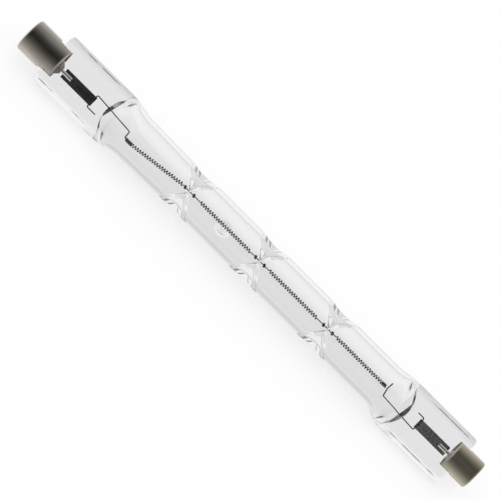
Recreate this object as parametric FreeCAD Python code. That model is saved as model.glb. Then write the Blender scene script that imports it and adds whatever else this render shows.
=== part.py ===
# Double-ended linear halogen lamp: a quartz tube with two flat pinch seals, a coiled
# filament on dimple supports, foil seals and two metal caps. Millimetres.
#
# The lamp is drawn along X. In its own section plane, y runs across the flat seals and z
# runs through their thickness. At the end of the script it is rolled about X and lifted,
# so that it lies on its tube and on the lower edge of the right seal.
import FreeCAD, Part
import math
import os

os.makedirs("parts", exist_ok=True)

Vec = FreeCAD.Vector

# Overall
left_end = -58.8            # outer end face of the left cap
right_end = 58.8            # outer end face of the right cap

# Quartz tube
tube_left_x = -30.7         # the round tube runs from here
tube_right_x = 34.2         # to here
tube_radius = 4.65          # outer radius
left_radius = 4.83          # the tube swells to this beside its left shoulder
taper_end = -19.5           # where that swelling ends
wall = 1.0                  # wall of the tube

# Flat pinch seals
seal_width = 11.3
seal_thickness = 3.3
seal_edge = 1.4             # rounding of the long edges
seal_corner = 0.7           # corner radius of the seals, seen from the front
left_seal_end = -52.5
left_seal_start = -36.8
right_seal_start = 39.6
right_seal_end = 54.8
left_seal_shift = 0.0       # sideways offset of each seal from the tube's axis
right_seal_shift = -0.5
shoulder_steps = 3          # steps in each shoulder

# Gas space inside the shoulders
hollow_left_end = -38.5     # ends of the gas space on the axis
hollow_right_end = 41.7
hollow_arc = 6.0            # radius of its rounded ends, seen from the front

# Dimples that hold the filament
dimple_places = [-16.6, 2.0, 20.0]
dimple_bottom = 1.75        # distance from the axis to the bottom of a dimple
dimple_angle = 36.0         # half angle of the cone, degrees
dimple_tip = 0.6            # radius of the rounded bottom
dimple_wall = 1.25          # glass between that bottom and the gas space

# Exhaust nub on the rear side
nub_place = -7.2
nub_height = 1.0
nub_base_radius = 1.8
nub_tip_radius = 0.8
nub_bore = 0.4
nub_angle = 5.0             # degrees off straight back, towards the lower seal edge

# Filament
wire_radius = 0.13          # to the corners of the wire's square section
coil_radius = 0.32          # radius of the coils' centre line
coil_pitch = 0.572
close_pitch = 0.26          # pitch of the close turns at both ends
coil_height = 0.2           # sideways place of the three right-hand coils
coil_low = -1.3             # sideways place where the left coil starts
coil_starts = [-30.4, -13.7, 4.5, 22.2]
coil_turns = [21, 23, 22, 21]
left_close_turns = 6
right_close_turns = 4
turn_steps = 8              # straight steps in one turn
wire_sides = 4

# Leads and foils
lead_radius = 0.12          # inner leads
outer_lead_radius = 0.4
lead_bend = 0.3             # radius of the leads' bends
bend_steps = 3              # straight steps in one bend
lead_sides = 8
lead_spread = 2.95          # distance between the two legs of an inner lead
left_leg = 2.2              # length of the short leg of each lead
right_leg = 1.5
left_hook_x = -32.35        # where the left lead turns down to the filament
left_hook_rise = 1.5
right_hook_x = 35.62        # where the right lead passes the filament's end
right_hook_drop = 1.6
right_hook_tail = 1.4
right_hook_lean = 0.35      # the drop leans out by this, and the tail by the next
hook_lean = 0.1
foil_width = 2.1
foil_thickness = 0.06
weld_lap = 0.35             # how far a lead lies on its foil past the foil's end
left_foil_height = -0.65    # sideways place of each foil
right_foil_height = -0.42
left_foil_inset = 3.0       # glass between the gas space and each inner lead's bar
right_foil_inset = 2.9
left_foil_cover = 3.5       # glass between each foil's outer end and the seal's end
right_foil_cover = 2.8
outer_lead_lap = 2.0        # how far an outer lead lies on its foil
outer_lead_sink = 0.8       # how far it reaches into the contact

# Caps
sleeve_wall = 0.35
sleeve_edge = 0.45          # rounding of the sleeve's outer end
sleeve_depth = 7.0          # size of both sleeves through the seal's thickness
left_sleeve_width = 7.0
right_sleeve_width = 6.15   # the right sleeve is pressed to an oval
left_sleeve_length = 8.4
right_sleeve_length = 6.1
right_sleeve_corner = 2.6   # corner radius of that oval
left_slot_gap = 0.95        # space between the seal's end and the bottom of the slot
right_slot_gap = 0.5
slot_clearance = 0.05       # on each side of the seal
cement_gap = 0.5            # the cement ends this far inside the sleeve's mouth
contact_collar = 2.6        # radius of the contact's collar in the sleeve's end
contact_body = 1.6          # thickness of the contact behind the sleeve's end
recess_radius = 1.8
recess_depth = 1.7
nose_half_width = 1.7
nose_half_depth = 1.0
nose_corner = 0.9
nose_foil_gap = 0.5         # between the nose and the foil's outer end
nose_taper = 0.95           # length of the tapered end of the contact's nose
nose_tip_width = 0.75       # half sizes of the nose's end
nose_tip_depth = 0.7

least_flat = 0.02           # shortest half flat kept in a section, so that sections match


def rounded(x, half_y, half_z, corner, shift_y=0.0):
    """Closed wire at x: a rectangle with round corners, and nearly a circle at its limit."""
    corner = min(corner, half_y - least_flat, half_z - least_flat)
    flat_y = half_y - corner
    flat_z = half_z - corner
    quarter = corner * math.sqrt(0.5)
    edges = []
    for sign_y, sign_z in ((1, 1), (-1, 1), (-1, -1), (1, -1)):
        centre = Vec(x, shift_y + sign_y * flat_y, sign_z * flat_z)
        side = centre + Vec(0, sign_y * corner, 0)
        top = centre + Vec(0, 0, sign_z * corner)
        middle = centre + Vec(0, sign_y * quarter, sign_z * quarter)
        first, last = (side, top) if sign_y * sign_z > 0 else (top, side)
        if edges:
            edges.append(Part.makeLine(edges[-1].Vertexes[-1].Point, first))
        edges.append(Part.Arc(first, middle, last).toShape())
    edges.append(Part.makeLine(edges[-1].Vertexes[-1].Point, edges[0].Vertexes[0].Point))
    return Part.Wire(edges)


def bar(x0, x1, half_y, half_z, corner, shift_y=0.0):
    """Straight solid of one rounded section from x0 to x1."""
    if half_y == half_z == corner:
        return rod(Vec(x0, shift_y, 0), Vec(x1, shift_y, 0), corner)
    face = Part.Face(rounded(x0, half_y, half_z, corner, shift_y))
    return face.extrude(Vec(x1 - x0, 0, 0))


def rod(start, end, radius):
    return Part.makeCylinder(radius, (end - start).Length, start, end - start)


def wire(places, radius, sides, phase=0.0):
    """Wire along straight steps. Each place is a point and the way that a corner of its
    section faces, or the middle of one of its flats where the phase is a half."""
    sections = []
    for i, (centre, facing) in enumerate(places):
        before = places[max(i - 1, 0)][0]
        after = places[min(i + 1, len(places) - 1)][0]
        ahead = Vec(0, 0, 0)
        if i > 0:
            ahead += (centre - before).normalize()
        if i < len(places) - 1:
            ahead += (after - centre).normalize()
        across = ahead.normalize().cross(facing).normalize()
        out = across.cross(ahead)
        corners = []
        for k in range(sides):
            angle = 2.0 * math.pi * (k + phase) / sides
            corners.append(centre + (out * math.cos(angle) + across * math.sin(angle)) * radius)
        sections.append(Part.makePolygon(corners + corners[:1]))
    return Part.makeLoft(sections, True, True)


def lead_wire(points, radius):
    """Wire along straight runs in a plane along the seals, with a flat towards the foils."""
    return wire([(point, Vec(0, 0, 1)) for point in points], radius, lead_sides, 0.5)


def bent_lead(points):
    """Inner lead in the plane of the seals, with every corner rounded in a few steps."""
    path = [points[0]]
    for i in range(1, len(points) - 1):
        corner = points[i]
        back = (points[i - 1] - corner).normalize()
        ahead = (points[i + 1] - corner).normalize()
        half_turn = (math.pi - back.getAngle(ahead)) / 2.0
        centre = corner + (back + ahead).normalize() * (lead_bend / math.cos(half_turn))
        first = corner + back * lead_bend * math.tan(half_turn) - centre
        last = corner + ahead * lead_bend * math.tan(half_turn) - centre
        for k in range(bend_steps + 1):
            part = k / bend_steps
            swing = (first * (1.0 - part) + last * part).normalize() * lead_bend
            path.append(centre + swing)
    path.append(points[-1])
    return lead_wire(path, lead_radius)


# Envelope
def barrel(inset):
    """The straight round part of the tube, smaller by the inset."""
    return rod(Vec(taper_end, 0, 0), Vec(tube_right_x, 0, 0), tube_radius - inset)


def shoulder(straight_x, round_x, flat_x, radius, inset, shift_y):
    """From the straight tube, by its taper if it has one, to a flat seal. It opens
    smoothly and ends in a crease."""
    sections = []
    if straight_x != round_x:
        size = tube_radius - inset
        sections.append(rounded(straight_x, size, size, size))
    for i in range(shoulder_steps + 1):
        t = i / shoulder_steps
        ease = t * t * (3.0 - 2.0 * t)
        fall = 1.0 - math.sin((1.0 - t) * math.pi / 2.0)
        half_y = radius + (seal_width / 2.0 - radius) * ease - inset
        half_z = radius + (seal_thickness / 2.0 - radius) * fall - inset
        corner = radius + (seal_edge - radius) * fall - inset
        x = round_x + (flat_x - round_x) * t
        sections.append(rounded(x, half_y, half_z, corner, shift_y * ease))
    return Part.makeLoft(sections, True, True)


def seal(x0, x1, shift_y):
    """Flat pinch seal, with rounded corners at its outer end x1."""
    body = bar(x0, x1, seal_width / 2.0, seal_thickness / 2.0, seal_edge, shift_y)
    sign = math.copysign(1.0, x1 - x0)
    length = abs(x1 - x0) + 1.0
    plan = Part.makeBox(length, seal_width, 2.0 * seal_thickness,
                        Vec(0, -seal_width / 2.0, -seal_thickness))
    outer = [e for e in plan.Edges if e.BoundBox.XMin > 0.0 and e.BoundBox.ZLength > 0.0
             and e.BoundBox.YLength < 1e-6]
    plan = plan.makeFillet(seal_corner, outer)
    if sign < 0:
        plan.rotate(Vec(0, 0, 0), Vec(0, 0, 1), 180)
    plan.translate(Vec(x1 - sign * length, shift_y, 0))
    return body.common(plan)


def dimple(place, side, bottom):
    """Round-ended cone that points at the axis, its bottom at the given distance."""
    slope = math.tan(math.radians(dimple_angle))
    lean = math.radians(dimple_angle)
    reach = left_radius + 1.0
    centre = bottom + dimple_tip
    touch_y = centre - dimple_tip * math.sin(lean)
    touch_r = dimple_tip * math.cos(lean)
    wide = touch_r + slope * (reach - touch_y)
    away = Vec(0, side, 0)
    cone = Part.makeCone(touch_r, wide, reach - touch_y, away * touch_y, away)
    solid = cone.fuse(Part.makeSphere(dimple_tip, away * centre))
    solid.translate(Vec(place, 0, 0))
    return solid


def nub():
    """Closed-off stub of the exhaust tube, on the rear side, and its bore."""
    root = tube_radius - wall / 2.0
    neck = tube_radius + nub_height - nub_tip_radius
    stub = Part.makeCone(nub_base_radius, nub_tip_radius, neck - root, Vec(0, 0, root))
    stub = stub.fuse(Part.makeSphere(nub_tip_radius, Vec(0, 0, neck)))
    inside = tube_radius - 2.0 * wall
    bore = Part.makeCylinder(nub_bore, neck - inside, Vec(0, 0, inside))
    for piece in (stub, bore):
        piece.rotate(Vec(0, 0, 0), Vec(1, 0, 0), 180.0 - nub_angle)
        piece.translate(Vec(nub_place, 0, 0))
    return stub, bore


def glass_form():
    """Outer form of the envelope, with its dimples and nub, before the gas space."""
    form = barrel(0.0).fuse([
        shoulder(taper_end, tube_left_x, left_seal_start, left_radius, 0.0, left_seal_shift),
        shoulder(tube_right_x, tube_right_x, right_seal_start, tube_radius, 0.0, right_seal_shift),
        seal(left_seal_start, left_seal_end, left_seal_shift),
        seal(right_seal_start, right_seal_end, right_seal_shift),
    ])
    for place in dimple_places:
        for side in (1, -1):
            form = form.cut(dimple(place, side, dimple_bottom))
    return form.fuse(nub()[0])


def hollow_end(straight_x, round_x, flat_x, end_x, radius, shift_y):
    """Gas space inside one shoulder, ending in a rounded slit inside the seal."""
    half_y = seal_width / 2.0 - wall
    half_z = seal_thickness / 2.0 - wall
    space = shoulder(straight_x, round_x, flat_x, radius, wall, shift_y)
    space = space.fuse(bar(flat_x, end_x, half_y, half_z, seal_edge - wall, shift_y))
    sign = math.copysign(1.0, end_x)
    centre_x = end_x - sign * hollow_arc
    low = Vec(min(centre_x, end_x), -seal_width, -left_radius)
    beyond = Part.makeBox(hollow_arc, 2.0 * seal_width, 2.0 * left_radius, low)
    centre = Vec(centre_x, shift_y, -left_radius)
    return space.cut(beyond.cut(Part.makeCylinder(hollow_arc, 2.0 * left_radius, centre)))


def gas_space():
    space = barrel(wall)
    for place in dimple_places:
        for side in (1, -1):
            space = space.cut(dimple(place, side, dimple_bottom - dimple_wall))
    return space.fuse([
        hollow_end(taper_end, tube_left_x, left_seal_start, hollow_left_end,
                   left_radius, left_seal_shift),
        hollow_end(tube_right_x, tube_right_x, right_seal_start, hollow_right_end,
                   tube_radius, right_seal_shift),
        nub()[1],
    ])


# Filament
def coil_places(start_x, height, slope, turns, pitch):
    """Centre line of one coil: place and the radial direction at each step."""
    places = []
    for i in range(round(turns * turn_steps) + 1):
        angle = 2.0 * math.pi * i / turn_steps
        x = start_x + pitch * i / turn_steps
        outward = Vec(0, math.sin(angle), -math.cos(angle))
        axis = Vec(x, height + slope * (x - start_x), 0)
        places.append((axis + outward * coil_radius, outward))
    return places


def filament():
    """One wire: close turns, four coils with straight skips between them, close turns."""
    first_length = coil_turns[0] * coil_pitch
    slope = (coil_height - coil_low) / first_length
    close_start = coil_starts[0] - left_close_turns * close_pitch
    last_end = coil_starts[-1] + coil_turns[-1] * coil_pitch
    places = coil_places(close_start, coil_low, 0.0, left_close_turns, close_pitch)
    places.pop()
    places += coil_places(coil_starts[0], coil_low, slope, coil_turns[0], coil_pitch)
    for start, turns in zip(coil_starts[1:], coil_turns[1:]):
        places += coil_places(start, coil_height, 0.0, turns, coil_pitch)
    places.pop()
    places += coil_places(last_end, coil_height, 0.0, right_close_turns, close_pitch)
    return wire(places, wire_radius, wire_sides, 0.5)


# Leads and foils
left_foil_inner = hollow_left_end - left_foil_inset
left_foil_outer = left_seal_end + left_foil_cover
right_foil_inner = hollow_right_end + right_foil_inset
right_foil_outer = right_seal_end - right_foil_cover


def inner_lead_left():
    y = left_foil_height
    bar_x = left_foil_inner
    points = [
        Vec(bar_x + left_leg, y - lead_spread / 2.0, 0),
        Vec(bar_x, y - lead_spread / 2.0, 0),
        Vec(bar_x, y + lead_spread / 2.0, 0),
        Vec(left_hook_x, coil_low + left_hook_rise, 0),
        Vec(left_hook_x + hook_lean, coil_low, 0),
        Vec(coil_starts[0] - coil_pitch, coil_low, 0),
    ]
    return bent_lead(points)


def inner_lead_right():
    y = right_foil_height
    bar_x = right_foil_inner
    points = [
        Vec(bar_x - right_leg, y + lead_spread / 2.0, 0),
        Vec(bar_x, y + lead_spread / 2.0, 0),
        Vec(bar_x, y - lead_spread / 2.0, 0),
        Vec(right_hook_x + right_hook_lean, coil_height - right_hook_drop, 0),
        Vec(right_hook_x, coil_height, 0),
        Vec(right_hook_x + hook_lean, coil_height + right_hook_tail, 0),
    ]
    return bent_lead(points)


def foil(inner_x, outer_x, height):
    """Strip under the leads, face to face with their flats."""
    length = abs(outer_x - inner_x)
    corner = Vec(min(inner_x, outer_x), height - foil_width / 2.0, foil_top - foil_thickness)
    return Part.makeBox(length, foil_width, foil_thickness, corner)


def outer_lead(foil_outer, height, nose_x):
    sign = math.copysign(1.0, foil_outer)
    centre_z = foil_top + outer_lead_radius * math.cos(math.pi / lead_sides)
    start = Vec(foil_outer - sign * outer_lead_lap, height, centre_z)
    return lead_wire([start, Vec(nose_x + sign * outer_lead_sink, height, centre_z)],
                         outer_lead_radius)


# Caps
def sleeve_space(end_x, inner_x, width, corner):
    """Inside of a sleeve between two places along the lamp."""
    return bar(end_x, inner_x, width / 2.0 - sleeve_wall, sleeve_depth / 2.0 - sleeve_wall,
               corner - sleeve_wall)


def cap_sleeve(end_x, length, width, corner, seal_x):
    """Drawn sleeve with a collar hole in its end and a slot that takes the seal."""
    sign = math.copysign(1.0, end_x)
    mouth_x = end_x - sign * length
    body = bar(end_x, mouth_x, width / 2.0, sleeve_depth / 2.0, corner)
    rim = [e for e in body.Edges if e.BoundBox.XLength < 1e-6 and abs(e.BoundBox.XMin - end_x) < 1e-6]
    body = body.makeFillet(sleeve_edge, rim)
    body = body.cut(sleeve_space(end_x - sign * sleeve_wall, mouth_x, width, corner))
    body = body.cut(rod(Vec(end_x, 0, 0), Vec(end_x - sign * sleeve_wall, 0, 0), contact_collar))
    half_slot = seal_thickness / 2.0 + slot_clearance
    low = Vec(min(seal_x, mouth_x), -width, -half_slot)
    return body.cut(Part.makeBox(abs(seal_x - mouth_x), 2.0 * width, 2.0 * half_slot, low))


def contact(end_x, width, corner, nose_x, height):
    """Recessed contact. Its collar fills the sleeve's end and its nose enters the seal."""
    sign = math.copysign(1.0, end_x)
    face_x = end_x - sign * sleeve_wall
    back_x = face_x - sign * contact_body
    taper_x = nose_x + sign * nose_taper
    body = sleeve_space(face_x, back_x, width, corner)
    body = body.fuse(rod(Vec(end_x, 0, 0), Vec(face_x, 0, 0), contact_collar))
    body = body.fuse(bar(back_x, taper_x, nose_half_width, nose_half_depth, nose_corner, height))
    taper = Part.makeLoft([
        rounded(taper_x, nose_half_width, nose_half_depth, nose_corner, height),
        rounded(nose_x, nose_tip_width, nose_tip_depth, nose_tip_depth, height),
    ], True, True)
    recess = rod(Vec(end_x, 0, 0), Vec(end_x - sign * recess_depth, 0, 0), recess_radius)
    return body.fuse(taper).cut(recess)


def cap_cement(end_x, length, width, corner):
    """Cement behind the contact, round the end of the seal."""
    sign = math.copysign(1.0, end_x)
    back_x = end_x - sign * (sleeve_wall + contact_body)
    return sleeve_space(back_x, end_x - sign * (length - cement_gap), width, corner)


def rest_roll():
    """Roll about X that sets the lower edge of the right seal level with the tube's underside."""
    edge_y = seal_width / 2.0 - seal_edge - right_seal_shift
    edge_z = seal_thickness / 2.0 - seal_edge
    reach = math.hypot(edge_y, edge_z)
    return math.asin((left_radius - seal_edge) / reach) - math.atan2(edge_z, edge_y)


foil_top = -lead_radius * math.cos(math.pi / lead_sides)
seal_form = glass_form()
nose_left_x = left_foil_outer - nose_foil_gap
nose_right_x = right_foil_outer + nose_foil_gap
pieces = {
    "filament": filament(),
    "inner_lead_left": inner_lead_left(),
    "inner_lead_right": inner_lead_right(),
    "foil_left": foil(left_foil_inner + weld_lap, left_foil_outer, left_foil_height),
    "foil_right": foil(right_foil_inner - weld_lap, right_foil_outer, right_foil_height),
    "outer_lead_left": outer_lead(left_foil_outer, left_foil_height, nose_left_x),
    "outer_lead_right": outer_lead(right_foil_outer, right_foil_height, nose_right_x),
    "contact_left": contact(left_end, left_sleeve_width, left_sleeve_width / 2.0,
                            nose_left_x, left_foil_height),
    "contact_right": contact(right_end, right_sleeve_width, right_sleeve_corner,
                             nose_right_x, right_foil_height),
    "cap_sleeve_left": cap_sleeve(left_end, left_sleeve_length, left_sleeve_width,
                                  left_sleeve_width / 2.0, left_seal_end - left_slot_gap),
    "cap_sleeve_right": cap_sleeve(right_end, right_sleeve_length, right_sleeve_width,
                                   right_sleeve_corner, right_seal_end + right_slot_gap),
    "cap_cement_left": cap_cement(left_end, left_sleeve_length, left_sleeve_width,
                                  left_sleeve_width / 2.0),
    "cap_cement_right": cap_cement(right_end, right_sleeve_length, right_sleeve_width,
                                   right_sleeve_corner),
}

# Each embedded piece is let into what surrounds it
for side in ("left", "right"):
    lead = pieces["outer_lead_" + side]
    pieces["contact_" + side] = pieces["contact_" + side].cut(lead)
    around = pieces["cap_cement_" + side].cut(seal_form)
    pieces["cap_cement_" + side] = around.cut([pieces["contact_" + side], lead])
embedded = [name for name in pieces if name.startswith(("inner_lead", "foil", "outer_lead", "contact"))]
pieces["envelope"] = seal_form.cut(gas_space()).cut([pieces[name] for name in embedded])

# The lamp lies rolled on its tube and on the lower edge of the right seal
roll = rest_roll()
middle_y = (left_seal_shift + right_seal_shift) / 2.0 * math.cos(roll)
for shape in pieces.values():
    shape.rotate(Vec(0, 0, 0), Vec(1, 0, 0), math.degrees(roll))
rest_height = -pieces["envelope"].optimalBoundingBox(False, False).ZMin
for name, shape in pieces.items():
    shape.translate(Vec(0, -middle_y, rest_height))
    if len(shape.Solids) == 1:
        shape = shape.Solids[0]
    shape.exportStep("parts/" + name + ".step")
    print(name, len(shape.Solids), shape.isValid(), round(shape.Volume, 3))
print("roll", round(math.degrees(roll), 2), "axis height", round(rest_height, 3))
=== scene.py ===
import math

import bpy
import numpy as np
from mathutils import Matrix, Vector


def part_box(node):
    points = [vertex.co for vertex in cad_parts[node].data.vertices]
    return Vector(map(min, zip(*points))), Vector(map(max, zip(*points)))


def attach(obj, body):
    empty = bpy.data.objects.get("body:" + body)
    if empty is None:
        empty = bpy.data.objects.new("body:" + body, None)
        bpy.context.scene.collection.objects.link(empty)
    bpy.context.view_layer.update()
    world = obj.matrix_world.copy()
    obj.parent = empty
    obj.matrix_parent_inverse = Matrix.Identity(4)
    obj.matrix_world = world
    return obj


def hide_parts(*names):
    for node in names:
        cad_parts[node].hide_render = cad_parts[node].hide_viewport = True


# Looks of a double-ended linear halogen lamp. Lengths are millimetres, and MM makes them metres.
# In the lamp's own frame x runs along it, y across the flat seals and z through them.
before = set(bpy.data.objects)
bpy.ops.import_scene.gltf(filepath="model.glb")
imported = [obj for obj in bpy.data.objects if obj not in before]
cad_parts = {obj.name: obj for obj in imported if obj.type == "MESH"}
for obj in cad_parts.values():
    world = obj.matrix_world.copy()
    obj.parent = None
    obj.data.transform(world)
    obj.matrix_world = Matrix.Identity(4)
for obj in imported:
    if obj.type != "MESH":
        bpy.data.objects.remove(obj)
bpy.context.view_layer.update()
MM = 0.001
SIDES = ("left", "right")
WHITE = (1.0, 1.0, 1.0, 1.0)

# Quartz envelope. A pair is for the left and the right end, but for SEAL_HALF. The tube
# swells a little from TAPER_END to its left end.
TUBE_X = (-30.7, 34.2)
TUBE_RADIUS = 4.65
LEFT_RADIUS = 4.83
TAPER_END = -19.5
WALL = 1.0
SEAL_X = (-36.8, 39.6)
SEAL_END = (-52.5, 54.8)
SEAL_SHIFT = (0.0, -0.5)
# Half the seals' width and thickness, and the roundings of their section, plan and end
SEAL_HALF = (5.65, 1.65)
SEAL_EDGE = 1.4
SEAL_CORNER = 0.7
END_ROUNDING = 0.25
# Gas space: its ends, the radius of their outline, how far before the flat seals the
# outline starts to grow round, the length in which the ends close, and the share of the
# thickness that is left there
HOLLOW_END = (-38.5, 41.7)
HOLLOW_ARC = 6.0
HOLLOW_BOW = 4.0
HOLLOW_EDGE = (2.6, 0.65)
HOLLOW_SLIT = 0.03
# The least flat part of a section's side, outside and inside
OUTER_FLAT = 0.02
INNER_FLAT = 0.01
# Mouths of the sleeves, how far the glass steps back inside them, and over what length
CAP_MOUTH = (-50.4, 52.7)
CAP_CLEARANCE = 0.02
CAP_STEP = 0.2

# Dimples: their places, and how much narrower the cones are round the tube. Then, outside
# and inside, the bottom's distance from the axis, the tip's roundness, the slope, and the
# width of the blend
DIMPLES = (-16.6, 2.0, 20.0)
DIMPLE_SQUEEZE = 1.35
OUTER_DIMPLE = {"bottom": 1.8, "tip": 0.5, "slope": math.tan(math.radians(40.0)), "rim": 0.5}
INNER_DIMPLE = {"bottom": 0.14, "tip": 0.25, "slope": math.tan(math.radians(38.0)), "rim": 0.8}

# Exhaust nub: height and radius outside, the same of its pit, and how pointed the dome is
NUB_X = -7.2
NUB_ANGLE = math.radians(5.0)
NUB_SIZE = (1.0, 1.8)
NUB_PIT = (1.1, 0.75)
NUB_POWER = 1.2

# Rows and columns of the envelope's points. The rows stand closer where the weight is
# larger: at details it grows by an amount, within a reach, with a power for how it ends.
OUTER_GRID = (400, 136)
INNER_GRID = (320, 104)
SPREAD_SAMPLES = 4000
PLAIN_WEIGHT = 0.35
DIMPLE_WEIGHT = (1.6, 2.6, 4)
NUB_WEIGHT = (1.6, 2.2, 4)
SHOULDER_WEIGHT = (1.2, 4.6, 4)
END_WEIGHT = (3.0, 0.8, 2)

# Filament. The wobble is made of waves: size, rate along the lamp and phase.
WIRE_RADIUS = 0.1
WIRE_SIDES = 8
COIL_RADIUS = 0.32
COIL_PITCH = 0.572
CLOSE_PITCH = 0.26
COIL_Y = 0.2
COIL_LOW = -1.3
COIL_STARTS = (-30.4, -13.7, 4.5, 22.2)
COIL_TURNS = (21, 23, 22, 21)
CLOSE_TURNS = (6, 4)
COIL_WOBBLE = ((0.02, 2.9, 0.0), (0.015, 5.3, 1.0))
KNOT_TURNS = 2
KNOT_PITCH = 0.24
KNOT_PLACE = 1.15
TURN_STEPS = 18
SKIP_STEP = 0.11

# Inner leads: the U across each foil's inner end, with its short leg, then the left lead's
# corners, and the right lead's, sideways from the coil's line
FOIL_Y = (-0.65, -0.42)
FOIL_INNER = (-41.5, 44.6)
LEAD_RADIUS = 0.12
LEAD_SIDES = 10
LEAD_BEND = 0.3
BEND_STEPS = 8
LEAD_SPREAD = 2.95
LEAD_LEG = (2.2, 1.5)
LEFT_LEAD = ((-32.35, 0.2), (-32.25, COIL_LOW))
RIGHT_LEAD = ((35.97, -1.6), (35.62, 0.0), (35.72, 1.4))

# Quartz: light turned this often inside it goes straight on. Bump: strength and height.
QUARTZ_IOR = 1.46
QUARTZ_COLOUR = (0.998, 0.993, 1.0)
STRAIGHT_AFTER = 5
WAVES = {"scale": 260.0, "detail": 2.0, "stretch": (0.35, 1.0, 1.0)}
WAVE_BUMP = (0.25, 0.12)

# Painted shade: dark lines along the seals' rounded edges, painted for the dark surroundings
# that the edges refract. Middle and half length along the lamp, and sideways place. They are
# broken by a noise: its values where the line breaks up, and the line's levels.
PAINTED_SHADE_LINES = (
    (-45.0, 6.5, 5.1),
    (-49.8, 2.2, -4.7),
    (-41.2, 2.2, -4.7),
    (48.2, 6.0, 4.4),
    (47.3, 7.2, -5.3),
)
SHADE_LINE_WIDTH = 0.2
SHADE_LINE_FADE = 0.2
PAINTED_SHADE_COLOUR = (0.02, 0.02, 0.022)
SHADE_LINE_NOISE = {"scale": 900.0, "detail": 2.0, "stretch": (0.5, 1.0, 1.0)}
SHADE_LINE_BREAKS = ((0.36, 0.5), (0.4, 1.0))

# Frost where tools have pressed the glass: reach to each side of a place, and strength
FROST_ENDS = (-38.0, 41.2)
DIMPLE_FROST = (5.0, 1.0)
END_FROST = (2.6, 4.0)
FROST_AT_MIDDLE = 0.04
FROST_AT_EDGE = 0.12
FROST_FADE = 0.2

# Metals: dark and pale colour, roughness, grain per metre, its stretch, and bump height
METALS = {
    "tungsten": ((0.05, 0.05, 0.052), (0.13, 0.127, 0.125), (0.35, 0.5), 3500.0, (1, 1, 1), 0.0),
    "lead_wire": ((0.04, 0.04, 0.043), (0.13, 0.127, 0.125), (0.3, 0.45), 1500.0, (1, 1, 1), 0.0),
    "outer_wire": ((0.6, 0.59, 0.57), (0.85, 0.84, 0.82), (0.12, 0.22), 1500.0, (1, 1, 1), 0.0),
    # The foils' colours are painted shade over molybdenum's own grey: far darker than the metal, for the
    # dark that the foils mirror, and the left foil darker than the right
    "foil_left": ((0.04, 0.04, 0.045), (0.11, 0.11, 0.118), (0.3, 0.45), 900.0, (0.15, 1, 1), 0.03),
    "foil_right": ((0.14, 0.14, 0.15), (0.27, 0.27, 0.285), (0.35, 0.5), 2500.0, (1, 1, 1), 0.03),
    "nickel_left": ((0.48, 0.445, 0.39), (0.64, 0.6, 0.53), (0.12, 0.2), 420.0, (0.3, 1, 1), 0.02),
    "nickel_right": ((0.52, 0.47, 0.36), (0.72, 0.66, 0.52), (0.33, 0.44), 420.0, (0.3, 1, 1), 0.02),
    "contact_metal": ((0.32, 0.31, 0.29), (0.5, 0.48, 0.45), (0.2, 0.35), 900.0, (1, 1, 1), 0.02),
}
# The span of a noise's values that counts, the detail of colour and grain, how much finer
# the grain is than the colour, the bump's strength, and the matt lip at a sleeve's mouth
NOISE_SPAN = (0.3, 0.7)
COLOUR_DETAIL = 5.0
GRAIN_DETAIL = 4.0
GRAIN_FINER = 2.3
METAL_BUMP = 0.5
LIP_WIDTH = 0.5
LIP_COLOUR = (0.36, 0.33, 0.29, 1.0)

# Cement, with the span and the grain of its noise, and its bump's strength and height
CEMENT_COLOURS = ((0.26, 0.24, 0.21), (0.58, 0.56, 0.51))
CEMENT_SPAN = (0.36, 0.66)
CEMENT_NOISE = {"scale": 2600.0, "detail": 6.0}
CEMENT_ROUGH = 0.9
CEMENT_BUMP = (0.8, 0.15)

# Floor, with the strength at which the camera sees it glow
FLOOR_HALF = 600.0
FLOOR_COLOUR = (0.26, 0.26, 0.26, 1.0)
FLOOR_GLOW = 0.75

# Surroundings. Each gives where the light changes and its levels there: by height, to the
# right, and by how straight a direction points at the opening in front of the lamp.
OPENING_LEAN = math.radians(12.0)
SLOPE_LIGHT = ((-0.84, -0.6), (0.74, 0.93))
ABOVE_LIGHT = ((-0.1, 0.3), (1.0, 0.6))
BENEATH_LIGHT = ((-0.99, -0.93), (0.85, 1.0))
BESIDE_LIGHT = ((0.5, 0.8), (1.0, 0.35))
OPENING_LIGHT = ((0.9, 0.98), (1.0, 0.2))
MIRRORED_LIGHT = ((-0.7, 1.0), (0.85, 0.015))

# Camera: its place is the distance in front, then how far to the right and up
CAMERA_TURN = math.radians(44.87)
CAMERA_LENS = 198.0
CAMERA_SENSOR = 36.0
CAMERA_NEAR = 10.0
CAMERA_PLACE = (516.0, -0.31, 0.87)

# The lamp lies rolled on its tube and on the lower edge of the right seal
edge_y = SEAL_HALF[0] - SEAL_EDGE - SEAL_SHIFT[1]
edge_z = SEAL_HALF[1] - SEAL_EDGE
ROLL = math.asin((LEFT_RADIUS - SEAL_EDGE) / math.hypot(edge_y, edge_z)) - math.atan2(edge_z, edge_y)
CONTACT_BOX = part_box("contact_left")
AXIS_Y, AXIS_Z = (sum(corner[k] for corner in CONTACT_BOX) / 2.0 / MM for k in (1, 2))
ALONG = Vector((1, 0, 0))
ACROSS = Vector((0, math.cos(ROLL), math.sin(ROLL)))
FRONT = Vector((0, -math.sin(ROLL), math.cos(ROLL)))


def to_row(points):
    """Points of the lamp's frame, in millimetres, as points of the row's frame in metres."""
    points = np.asarray(points, float)
    y = points[..., 1] * math.cos(ROLL) - points[..., 2] * math.sin(ROLL) + AXIS_Y
    z = points[..., 1] * math.sin(ROLL) + points[..., 2] * math.cos(ROLL) + AXIS_Z
    return np.stack([points[..., 0], y, z], -1) * MM


CENTRE = Vector(to_row((0.0, 0.0, 0.0)).tolist())


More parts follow.
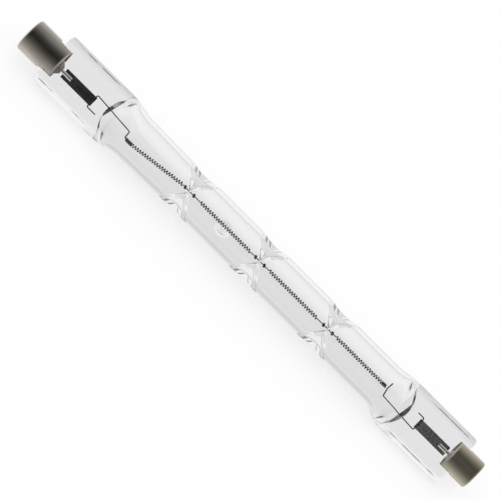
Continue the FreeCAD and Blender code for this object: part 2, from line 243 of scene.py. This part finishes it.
def new_piece(name, points, faces, material, replaced):
    """Smooth mesh in the lamp's frame that rides on the body and stands for CAD nodes."""
    mesh = bpy.data.meshes.new(name)
    mesh.from_pydata(to_row(points).tolist(), [], faces)
    mesh.polygons.foreach_set("use_smooth", [True] * len(mesh.polygons))
    mesh.materials.append(material)
    piece = bpy.data.objects.new(name, mesh)
    bpy.context.scene.collection.objects.link(piece)
    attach(piece, "root")
    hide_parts(*replaced)


# Material nodes
def new_material(name, **values):
    """Principled material, its shader node, and its node tree."""
    material = bpy.data.materials.new(name)
    material.use_nodes = True
    shader = material.node_tree.nodes["Principled BSDF"]
    for key, value in values.items():
        shader.inputs[key.replace("_", " ")].default_value = value
    return material, shader, material.node_tree


def add_node(tree, kind, inputs=None, **values):
    """Node with its settings, and with its inputs linked or set."""
    node = tree.nodes.new(kind)
    for key, value in values.items():
        setattr(node, key, value)
    for key, value in (inputs or {}).items():
        if isinstance(value, bpy.types.NodeSocket):
            tree.links.new(value, node.inputs[key])
        else:
            node.inputs[key].default_value = value
    return node


def calculate(tree, operation, *values):
    """Result of a sum, product or other operation on numbers or sockets."""
    return add_node(tree, "ShaderNodeMath", dict(enumerate(values)), operation=operation).outputs[0]


def times(tree, first, second):
    """Product of two numbers or sockets."""
    return calculate(tree, "MULTIPLY", first, second)


def total(tree, values):
    """Sum of several sockets."""
    result = values[0]
    for value in values[1:]:
        result = calculate(tree, "ADD", result, value)
    return result


def map_range(tree, value, place, level, kind="LINEAR"):
    """Levels between two places of a value."""
    spans = {"Value": value, "From Min": place[0], "From Max": place[1],
             "To Min": level[0], "To Max": level[1]}
    return add_node(tree, "ShaderNodeMapRange", spans, interpolation_type=kind).outputs["Result"]


def soft_range(tree, value, place, level):
    """Levels between two places of a value, with soft ends."""
    return map_range(tree, value, place, level, "SMOOTHSTEP")


def near(tree, value, place, half_width):
    """1 where the value is at the place, falling to 0 half a width to each side."""
    away = calculate(tree, "SUBTRACT", value, place)
    size = calculate(tree, "ABSOLUTE", away)
    return soft_range(tree, size, (0.0, half_width), (1.0, 0.0))


def mix(tree, share, first, second):
    """Number between two others."""
    return add_node(tree, "ShaderNodeMix", {"Factor": share, "A": first, "B": second}).outputs["Result"]


def object_place(tree):
    """Place in the object, in metres."""
    return add_node(tree, "ShaderNodeTexCoord").outputs["Object"]


def parts_of(tree, vector):
    """Sockets X, Y and Z of a vector."""
    return add_node(tree, "ShaderNodeSeparateXYZ", {0: vector}).outputs


def along_direction(tree, vector, direction):
    """How far a vector reaches in a direction."""
    node = add_node(tree, "ShaderNodeVectorMath", {0: vector, 1: direction}, operation="DOT_PRODUCT")
    return node.outputs["Value"]


def object_noise(tree, scale, detail, stretch=(1.0, 1.0, 1.0)):
    """Noise that stays with the object, with its grains per metre."""
    mapping = add_node(tree, "ShaderNodeMapping", {"Vector": object_place(tree), "Scale": stretch})
    noise = add_node(tree, "ShaderNodeTexNoise",
                     {"Vector": mapping.outputs["Vector"], "Scale": scale, "Detail": detail})
    return noise.outputs["Fac"]


def ramp(tree, value, low, high, place=NOISE_SPAN):
    """Colours between two places of a value."""
    node = add_node(tree, "ShaderNodeValToRGB", {"Fac": value})
    for element, at, colour in zip(node.color_ramp.elements, place, (low, high)):
        element.position = at
        element.color = (*colour, 1.0)
    return node.outputs["Color"]


def add_bump(tree, shader, height, strength, distance):
    """Fine relief of a material, as high as the distance in millimetres."""
    bump = add_node(tree, "ShaderNodeBump",
                    {"Height": height, "Strength": strength, "Distance": distance * MM})
    tree.links.new(bump.outputs["Normal"], shader.inputs["Normal"])


# Materials
def painted_shade_lines(tree, along, sideways, axis):
    """1 on the painted shade lines along the seals' edges, which stand for the dark that the edges
    refract, and less where they are broken.
    """
    broken = soft_range(tree, object_noise(tree, **SHADE_LINE_NOISE), *SHADE_LINE_BREAKS)
    shade_lines = []
    for middle, half_length, offset in PAINTED_SHADE_LINES:
        line = near(tree, sideways, axis + offset * MM, SHADE_LINE_WIDTH * MM)
        reach = near(tree, along, middle * MM, half_length * MM)
        reach = soft_range(tree, reach, (0.0, SHADE_LINE_FADE), (0.0, 1.0))
        shade_lines.append(times(tree, times(tree, line, reach), broken))
    return total(tree, shade_lines)


def frost(tree, along, sideways, axis):
    """Roughness at the dimples and the gas space's ends, more towards the tube's edges."""
    places = [(place, *DIMPLE_FROST) for place in DIMPLES]
    places += [(place, *END_FROST) for place in FROST_ENDS]
    strength = total(tree, [times(tree, near(tree, along, middle * MM, reach * MM), amount)
                            for middle, reach, amount in places])
    inwards = near(tree, sideways, axis, TUBE_RADIUS * MM)
    level = soft_range(tree, inwards, (0.0, FROST_FADE), (FROST_AT_EDGE, FROST_AT_MIDDLE))
    return times(tree, strength, level)


def quartz_material():
    """Clear fused quartz with slight waves from the flame, painted shade as dark lines along the
    seals' edges, and a faint frost where tools have pressed it. Light that has been turned often
    inside it goes straight on, so the thick glass of the dimples stays clear."""
    material, shader, tree = new_material("quartz", IOR=QUARTZ_IOR, Transmission_Weight=1.0)
    path = add_node(tree, "ShaderNodeLightPath")
    deep = calculate(tree, "GREATER_THAN", path.outputs["Ray Depth"], STRAIGHT_AFTER - 0.5)
    index = map_range(tree, deep, (0.0, 1.0), (QUARTZ_IOR, 1.0))
    tree.links.new(index, shader.inputs["IOR"])
    place = object_place(tree)
    along = parts_of(tree, place)["X"]
    sideways = along_direction(tree, place, ACROSS)
    axis = ACROSS.dot(CENTRE)
    # Painted shade: the base colour turns dark on lines along the seals' edges, for the dark
    # surroundings that these edges refract
    shade_line = painted_shade_lines(tree, along, sideways, axis)
    tree.links.new(ramp(tree, shade_line, QUARTZ_COLOUR, PAINTED_SHADE_COLOUR, (0.0, 1.0)), shader.inputs["Base Color"])
    tree.links.new(frost(tree, along, sideways, axis), shader.inputs["Roughness"])
    add_bump(tree, shader, object_noise(tree, **WAVES), *WAVE_BUMP)
    return material


def metal_material(name):
    """Metal of the table, whose colour and roughness vary a little over its surface."""
    low, high, rough, scale, stretch, bump = METALS[name]
    material, shader, tree = new_material(name, Metallic=1.0)
    shade = object_noise(tree, scale, COLOUR_DETAIL, stretch)
    tree.links.new(ramp(tree, shade, low, high), shader.inputs["Base Color"])
    grain = object_noise(tree, scale * GRAIN_FINER, GRAIN_DETAIL, stretch)
    tree.links.new(map_range(tree, grain, NOISE_SPAN, rough), shader.inputs["Roughness"])
    if bump:
        add_bump(tree, shader, grain, METAL_BUMP, bump)
    return material


def sleeve_material(name, mouth):
    """Nickel-plated sleeve with a matt lip at its mouth."""
    material = metal_material(name)
    tree = material.node_tree
    shader = tree.nodes["Principled BSDF"]
    nickel = shader.inputs["Base Color"].links[0].from_socket
    lip = near(tree, parts_of(tree, object_place(tree))["X"], mouth * MM, LIP_WIDTH * MM)
    blend = add_node(tree, "ShaderNodeMix", {"Factor": lip}, data_type="RGBA")
    first, second = (socket for socket in blend.inputs if socket.type == "RGBA")
    result = next(socket for socket in blend.outputs if socket.type == "RGBA")
    tree.links.new(nickel, first)
    second.default_value = LIP_COLOUR
    tree.links.new(result, shader.inputs["Base Color"])
    tree.links.new(calculate(tree, "SUBTRACT", 1.0, lip), shader.inputs["Metallic"])
    return material


def cement_material():
    """Grey refractory cement with coarse grains."""
    material, shader, tree = new_material("cement", Roughness=CEMENT_ROUGH)
    grain = object_noise(tree, **CEMENT_NOISE)
    tree.links.new(ramp(tree, grain, *CEMENT_COLOURS, CEMENT_SPAN), shader.inputs["Base Color"])
    add_bump(tree, shader, grain, *CEMENT_BUMP)
    return material


# Envelope
def smooth_step(t):
    """0 up to 0 and 1 from 1, with a soft rise between."""
    t = np.clip(t, 0.0, 1.0)
    return t * t * (3.0 - 2.0 * t)


def round_box(half_y, half_z, corner, count):
    """Rows of points round rectangles with round corners, evenly spaced in each quarter."""
    half_y, half_z, corner = (np.asarray(v, float)[:, None] for v in (half_y, half_z, corner))
    quarter = count // 4
    part = np.arange(quarter) / quarter
    share = np.concatenate([part, 1.0 - part, part, 1.0 - part])[None, :]
    sign_y = np.repeat([1, -1, -1, 1], quarter)
    sign_z = np.repeat([1, 1, -1, -1], quarter)
    side = half_z - corner
    bend = corner * math.pi / 2.0
    travel = share * (side + bend + half_y - corner)
    angle = np.clip((travel - side) / corner, 0.0, math.pi / 2.0)
    past = np.maximum(travel - side - bend, 0.0)
    y = half_y - corner + corner * np.cos(angle) - past
    z = np.minimum(travel, side) + corner * np.sin(angle)
    return y * sign_y, z * sign_z


def envelope_sizes(x, inset):
    """Half sizes, corner radius and sideways shift of the envelope's section at each x."""
    taper = smooth_step((TAPER_END - x) / (TAPER_END - TUBE_X[0]))
    tube = TUBE_RADIUS + (LEFT_RADIUS - TUBE_RADIUS) * taper
    side = (x > 0).astype(int)
    start = np.asarray(TUBE_X)[side]
    t = np.clip((x - start) / (np.asarray(SEAL_X)[side] - start), 0.0, 1.0)
    ease = smooth_step(t)
    fall = 1.0 - np.sin((1.0 - t) * math.pi / 2.0)
    half_y = tube + (SEAL_HALF[0] - tube) * ease - inset
    half_z = tube + (SEAL_HALF[1] - tube) * fall - inset
    corner = tube + (SEAL_EDGE - tube) * fall - inset
    return half_y, half_z, corner, np.asarray(SEAL_SHIFT)[side] * ease


def soft_min(a, b, width):
    """The smaller of two values, with a soft change from one to the other."""
    blend = np.maximum(width - np.abs(a - b), 0.0) / width
    return np.minimum(a, b) - blend * blend * width / 4.0


def press_dimples(x, y, z, bottom, tip, slope, rim):
    """Moves points sideways, on both sides of the tube, into cones that point at its axis."""
    for place in DIMPLES:
        reach = np.hypot(x - place, z * DIMPLE_SQUEEZE) / slope
        cone = bottom + np.sqrt(reach * reach + tip * tip) - tip
        y = np.where(y > 0, soft_min(y, cone, rim), -soft_min(-y, cone, rim))
    return y


def raise_nub(x, y, z, height, radius):
    """Moves points along the exhaust nub's axis, on the rear side."""
    axis_y, axis_z = -math.sin(NUB_ANGLE), -math.cos(NUB_ANGLE)
    sideways = y * axis_z - z * axis_y
    reach = np.hypot(x - NUB_X, sideways) / radius
    dome = np.cos(np.clip(reach, 0, 1) * math.pi / 2.0) ** NUB_POWER
    lift = height * np.where(reach < 1.0, dome, 0.0)
    lift = np.where(y * axis_y + z * axis_z > 0, lift, 0.0)
    return y + axis_y * lift, z + axis_z * lift


def spread(start, end, weights, count):
    """Places from start to end, closer together where the weight is larger."""
    fine = np.linspace(start, end, SPREAD_SAMPLES)
    grown = np.cumsum(weights(fine))
    grown = (grown - grown[0]) / (grown[-1] - grown[0])
    return np.interp(np.linspace(0.0, 1.0, count), grown, fine)


def detail_weight(x):
    """Weight of each place along the envelope, for how closely its rows stand."""
    details = [(place, *DIMPLE_WEIGHT) for place in DIMPLES] + [(NUB_X, *NUB_WEIGHT)]
    for tube_end, seal_end, hollow_end in zip(TUBE_X, SEAL_END, HOLLOW_END):
        details.append(((tube_end + hollow_end) / 2.0, *SHOULDER_WEIGHT))
        details.append((seal_end, *END_WEIGHT))
        details.append((hollow_end, *END_WEIGHT))
    weight = np.full_like(x, PLAIN_WEIGHT)
    for place, amount, reach, power in details:
        weight += amount * np.exp(-((x - place) / reach) ** power)
    return weight


def grid_faces(rows, columns, flip):
    """Quads of a closed tube of points, and a cap at each end."""
    i, j = np.meshgrid(np.arange(rows - 1), np.arange(columns), indexing="ij")
    a = i * columns + j
    b = i * columns + (j + 1) % columns
    order = [a, b, b + columns, a + columns]
    quads = np.stack(order[::-1] if flip else order, -1).reshape(-1, 4).tolist()
    first = list(range(columns))
    last = list(range((rows - 1) * columns, rows * columns))
    caps = [first, last[::-1]] if flip else [first[::-1], last]
    return quads + caps


def outer_skin(rows, columns):
    """Surface of the tube, shoulders, seals, dimples and nub."""
    x = spread(SEAL_END[0], SEAL_END[1], detail_weight, rows)
    half_y, half_z, corner, shift = envelope_sizes(x, 0.0)
    ends = np.minimum(x - SEAL_END[0], SEAL_END[1] - x)
    plan = np.clip(1.0 - ends / SEAL_CORNER, 0.0, 1.0)
    half_y -= SEAL_CORNER * (1.0 - np.sqrt(1.0 - plan * plan))
    rim = np.clip(1.0 - ends / END_ROUNDING, 0.0, 1.0)
    half_z -= END_ROUNDING * (1.0 - np.sqrt(1.0 - rim * rim))
    corner = np.minimum(corner, half_z - OUTER_FLAT)
    hidden = smooth_step((CAP_MOUTH[0] - x) / CAP_STEP) + smooth_step((x - CAP_MOUTH[1]) / CAP_STEP)
    half_y -= CAP_CLEARANCE * hidden
    half_z -= CAP_CLEARANCE * hidden
    y, z = round_box(half_y, half_z, corner, columns)
    x = np.broadcast_to(x[:, None], y.shape)
    y, z = raise_nub(x, press_dimples(x, y, z, **OUTER_DIMPLE), z, *NUB_SIZE)
    points = np.stack([x, y + shift[:, None], z], -1).reshape(-1, 3)
    return points, grid_faces(rows, columns, False)


def inner_skin(rows, columns):
    """Surface of the gas space. Its ends are slits with rounded outlines and rims."""
    x = spread(HOLLOW_END[0], HOLLOW_END[1], detail_weight, rows)
    half_y, half_z, corner, shift = envelope_sizes(x, WALL)
    ends = np.minimum((x - HOLLOW_END[0]) / HOLLOW_EDGE[0], (HOLLOW_END[1] - x) / HOLLOW_EDGE[1])
    rim = np.clip(1.0 - ends, 0.0, 1.0)
    half_z *= np.maximum(np.sqrt(1.0 - rim * rim), HOLLOW_SLIT)
    y, z = round_box(half_y, half_z, np.minimum(corner, half_z - INNER_FLAT), columns)
    side = (x > 0).astype(int)
    sign = np.where(side, 1.0, -1.0)
    bow = HOLLOW_ARC - np.sqrt(HOLLOW_ARC ** 2 - y ** 2)
    start = np.asarray(SEAL_X)[side] - sign * HOLLOW_BOW
    share = smooth_step((x - start) / (np.asarray(HOLLOW_END)[side] - start))[:, None]
    x = np.broadcast_to(x[:, None], y.shape)
    y = press_dimples(x, y, z, **INNER_DIMPLE)
    y, z = raise_nub(x, y, z, *NUB_PIT)
    points = np.stack([x - sign[:, None] * bow * share, y + shift[:, None], z], -1).reshape(-1, 3)
    return points, grid_faces(rows, columns, True)


def build_envelope():
    """The one piece of glass, in place of the CAD one."""
    points, faces = outer_skin(*OUTER_GRID)
    more, inner = inner_skin(*INNER_GRID)
    faces += [[v + len(points) for v in face] for face in inner]
    new_piece("quartz_envelope", np.vstack([points, more]), faces, quartz_material(),
              ["envelope"])


# Wires
def tube_mesh(points, radius, sides):
    """Round wire with flat ends along a line of points. Its section never twists much."""
    points = np.asarray(points, float)
    ahead = np.gradient(points, axis=0)
    ahead /= np.linalg.norm(ahead, axis=1)[:, None]
    out = np.zeros_like(points)
    facing = np.array([0.0, 0.0, 1.0])
    for i, direction in enumerate(ahead):
        facing = facing - direction * facing.dot(direction)
        facing /= np.linalg.norm(facing)
        out[i] = facing
    across = np.cross(ahead, out)
    angle = np.arange(sides) * 2.0 * math.pi / sides
    ring = (out[:, None, :] * np.cos(angle)[None, :, None]
            + across[:, None, :] * np.sin(angle)[None, :, None])
    verts = points[:, None, :] + ring * radius
    return verts.reshape(-1, 3), grid_faces(len(points), sides, False)


def round_path(corners, bend):
    """Line through corners, each replaced by an arc."""
    corners = [np.asarray(c, float) for c in corners]
    path = [corners[0]]
    for before, corner, after in zip(corners, corners[1:], corners[2:]):
        back = (before - corner) / np.linalg.norm(before - corner)
        ahead = (after - corner) / np.linalg.norm(after - corner)
        half = (math.pi - math.acos(np.clip(back.dot(ahead), -1.0, 1.0))) / 2.0
        middle = (back + ahead) / np.linalg.norm(back + ahead)
        centre = corner + middle * bend / math.cos(half)
        first = corner + back * bend * math.tan(half) - centre
        last = corner + ahead * bend * math.tan(half) - centre
        for k in range(BEND_STEPS + 1):
            swing = first * (1.0 - k / BEND_STEPS) + last * k / BEND_STEPS
            path.append(centre + swing / np.linalg.norm(swing) * bend)
    path.append(corners[-1])
    return path


def coil_runs():
    """Start, height, rise, turns and pitch of each coiled length of the filament."""
    first_length = COIL_TURNS[0] * COIL_PITCH
    slope = (COIL_Y - COIL_LOW) / first_length
    close_start = COIL_STARTS[0] - CLOSE_TURNS[0] * CLOSE_PITCH
    runs = [(close_start, COIL_LOW, 0.0, CLOSE_TURNS[0], CLOSE_PITCH),
            (COIL_STARTS[0], COIL_LOW, slope, COIL_TURNS[0], COIL_PITCH)]
    for place, start, turns in zip(DIMPLES, COIL_STARTS[1:], COIL_TURNS[1:]):
        for knot in (place - KNOT_PLACE, place + KNOT_PLACE):
            knot_start = knot - KNOT_TURNS * KNOT_PITCH / 2.0
            runs.append((knot_start, COIL_Y, 0.0, KNOT_TURNS, KNOT_PITCH))
        runs.append((start, COIL_Y, 0.0, turns, COIL_PITCH))
    last_end = COIL_STARTS[-1] + COIL_TURNS[-1] * COIL_PITCH
    runs.append((last_end, COIL_Y, 0.0, CLOSE_TURNS[1], CLOSE_PITCH))
    return runs


def coil_line():
    """The whole filament as a line: its coiled lengths, with straight skips between them."""
    points = []
    for start, height, rise, turns, pitch in coil_runs():
        step = np.arange(turns * TURN_STEPS + 1) / TURN_STEPS
        x = start + pitch * step
        wobble = sum(size * np.sin(x * rate + phase) for size, rate, phase in COIL_WOBBLE)
        y = height + rise * (x - start) + COIL_RADIUS * np.sin(2.0 * math.pi * step) + wobble
        z = -COIL_RADIUS * np.cos(2.0 * math.pi * step)
        run = np.stack([x, y, z], -1)
        if points and start - points[-1][-1, 0] > COIL_PITCH:
            gap = start - points[-1][-1, 0]
            share = np.linspace(0.0, 1.0, int(gap / SKIP_STEP))[1:-1, None]
            points.append(points[-1][-1] * (1.0 - share) + run[0] * share)
        elif points:
            run = run[1:]
        points.append(run)
    return np.vstack(points)


def lead_lines():
    """Corner points of the two inner leads, from the short leg of the U on the foil."""
    half = LEAD_SPREAD / 2.0
    left_x, right_x = FOIL_INNER
    left_y, right_y = FOIL_Y
    left_leg, right_leg = LEAD_LEG
    left = [(left_x + left_leg, left_y - half), (left_x, left_y - half), (left_x, left_y + half),
            *LEFT_LEAD, (COIL_STARTS[0] - COIL_PITCH, COIL_LOW)]
    right = [(right_x - right_leg, right_y + half), (right_x, right_y + half), (right_x, right_y - half)]
    right += [(x, COIL_Y + y) for x, y in RIGHT_LEAD]
    return [[(x, y, 0.0) for x, y in line] for line in (left, right)]


def build_wires():
    """Filament and inner leads with round wire, in place of the CAD ones."""
    points, faces = tube_mesh(coil_line(), WIRE_RADIUS, WIRE_SIDES)
    new_piece("tungsten_coil", points, faces, metal_material("tungsten"), ["filament"])
    lead = metal_material("lead_wire")
    for side, corners in zip(SIDES, lead_lines()):
        points, faces = tube_mesh(round_path(corners, LEAD_BEND), LEAD_RADIUS, LEAD_SIDES)
        new_piece("lead_wire_" + side, points, faces, lead, ["inner_lead_" + side])


# CAD pieces that keep their form
def dress_nodes():
    """Gives the CAD pieces their materials."""
    contact = metal_material("contact_metal")
    wire = metal_material("outer_wire")
    cement = cement_material()
    for side, mouth in zip(SIDES, CAP_MOUTH):
        sleeve = sleeve_material("nickel_" + side, mouth)
        foil = metal_material("foil_" + side)
        for node, material in (("cap_sleeve_", sleeve), ("contact_", contact), ("foil_", foil),
                               ("outer_lead_", wire), ("cap_cement_", cement)):
            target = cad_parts[node + side]
            target.data.materials.clear()
            target.data.materials.append(material)


# Stage, light and camera
def build_stage():
    """Pale floor that shows white to the camera and keeps a shadow."""
    size = FLOOR_HALF * MM
    corners = [(-size, -size, 0), (size, -size, 0), (size, size, 0), (-size, size, 0)]
    mesh = bpy.data.meshes.new("floor")
    mesh.from_pydata(corners, [], [(0, 1, 2, 3)])
    floor = bpy.data.objects.new("floor", mesh)
    bpy.context.scene.collection.objects.link(floor)
    material, shader, tree = new_material("floor", Base_Color=FLOOR_COLOUR, Roughness=1.0,
                                          Specular_IOR_Level=0.0, Emission_Color=WHITE)
    path = add_node(tree, "ShaderNodeLightPath")
    glow = times(tree, path.outputs["Is Camera Ray"], FLOOR_GLOW)
    tree.links.new(glow, shader.inputs["Emission Strength"])
    mesh.materials.append(material)
    floor.visible_transmission = False
    floor.visible_glossy = False


def build_world():
    """Soft white surroundings, as inside a tent that is open in front of the lamp. What
    shines mirrors the opening as a dim patch. Through the glass the tent is brightest a
    little under the horizon, and dimmer above, beneath, beyond the short cap and at the
    opening, which draws the glass's edges. The camera sees plain white."""
    world = bpy.data.worlds.new("studio")
    bpy.context.scene.world = world
    world.use_nodes = True
    tree = world.node_tree
    back = tree.nodes["Background"]
    back.inputs["Color"].default_value = WHITE
    direction = add_node(tree, "ShaderNodeTexCoord").outputs["Generated"]
    opening = FRONT * math.cos(OPENING_LEAN) + ACROSS * math.sin(OPENING_LEAN)
    facing = along_direction(tree, direction, opening)
    parts = parts_of(tree, direction)
    height = parts["Z"]
    glow = soft_range(tree, height, *SLOPE_LIGHT)
    for value, light in ((height, ABOVE_LIGHT), (height, BENEATH_LIGHT),
                         (parts["X"], BESIDE_LIGHT), (facing, OPENING_LIGHT)):
        glow = times(tree, glow, soft_range(tree, value, *light))
    path = add_node(tree, "ShaderNodeLightPath").outputs
    through = mix(tree, path["Is Transmission Ray"], 1.0, glow)
    mirrored = times(tree, path["Is Glossy Ray"], path["Is Reflection Ray"])
    shining = mix(tree, mirrored, through, map_range(tree, facing, *MIRRORED_LIGHT))
    shown = calculate(tree, "MAXIMUM", shining, path["Is Camera Ray"])
    tree.links.new(shown, back.inputs["Strength"])


def build_camera():
    """Looks straight at the flat seals, turned so that the lamp runs from corner to corner."""
    right = ALONG * math.cos(CAMERA_TURN) + ACROSS * math.sin(CAMERA_TURN)
    up = ACROSS * math.cos(CAMERA_TURN) - ALONG * math.sin(CAMERA_TURN)
    data = bpy.data.cameras.new("camera")
    data.lens = CAMERA_LENS
    data.sensor_width = CAMERA_SENSOR
    data.clip_start = CAMERA_NEAR * MM
    camera = bpy.data.objects.new("camera", data)
    bpy.context.scene.collection.objects.link(camera)
    distance, aside, raised = CAMERA_PLACE
    camera.location = CENTRE + (FRONT * distance + right * aside + up * raised) * MM
    camera.rotation_euler = Matrix((right, up, FRONT)).transposed().to_euler()
    bpy.context.scene.camera = camera


build_envelope()
build_wires()
dress_nodes()
build_stage()
build_world()
build_camera()
bpy.context.scene.view_settings.view_transform = "Standard"
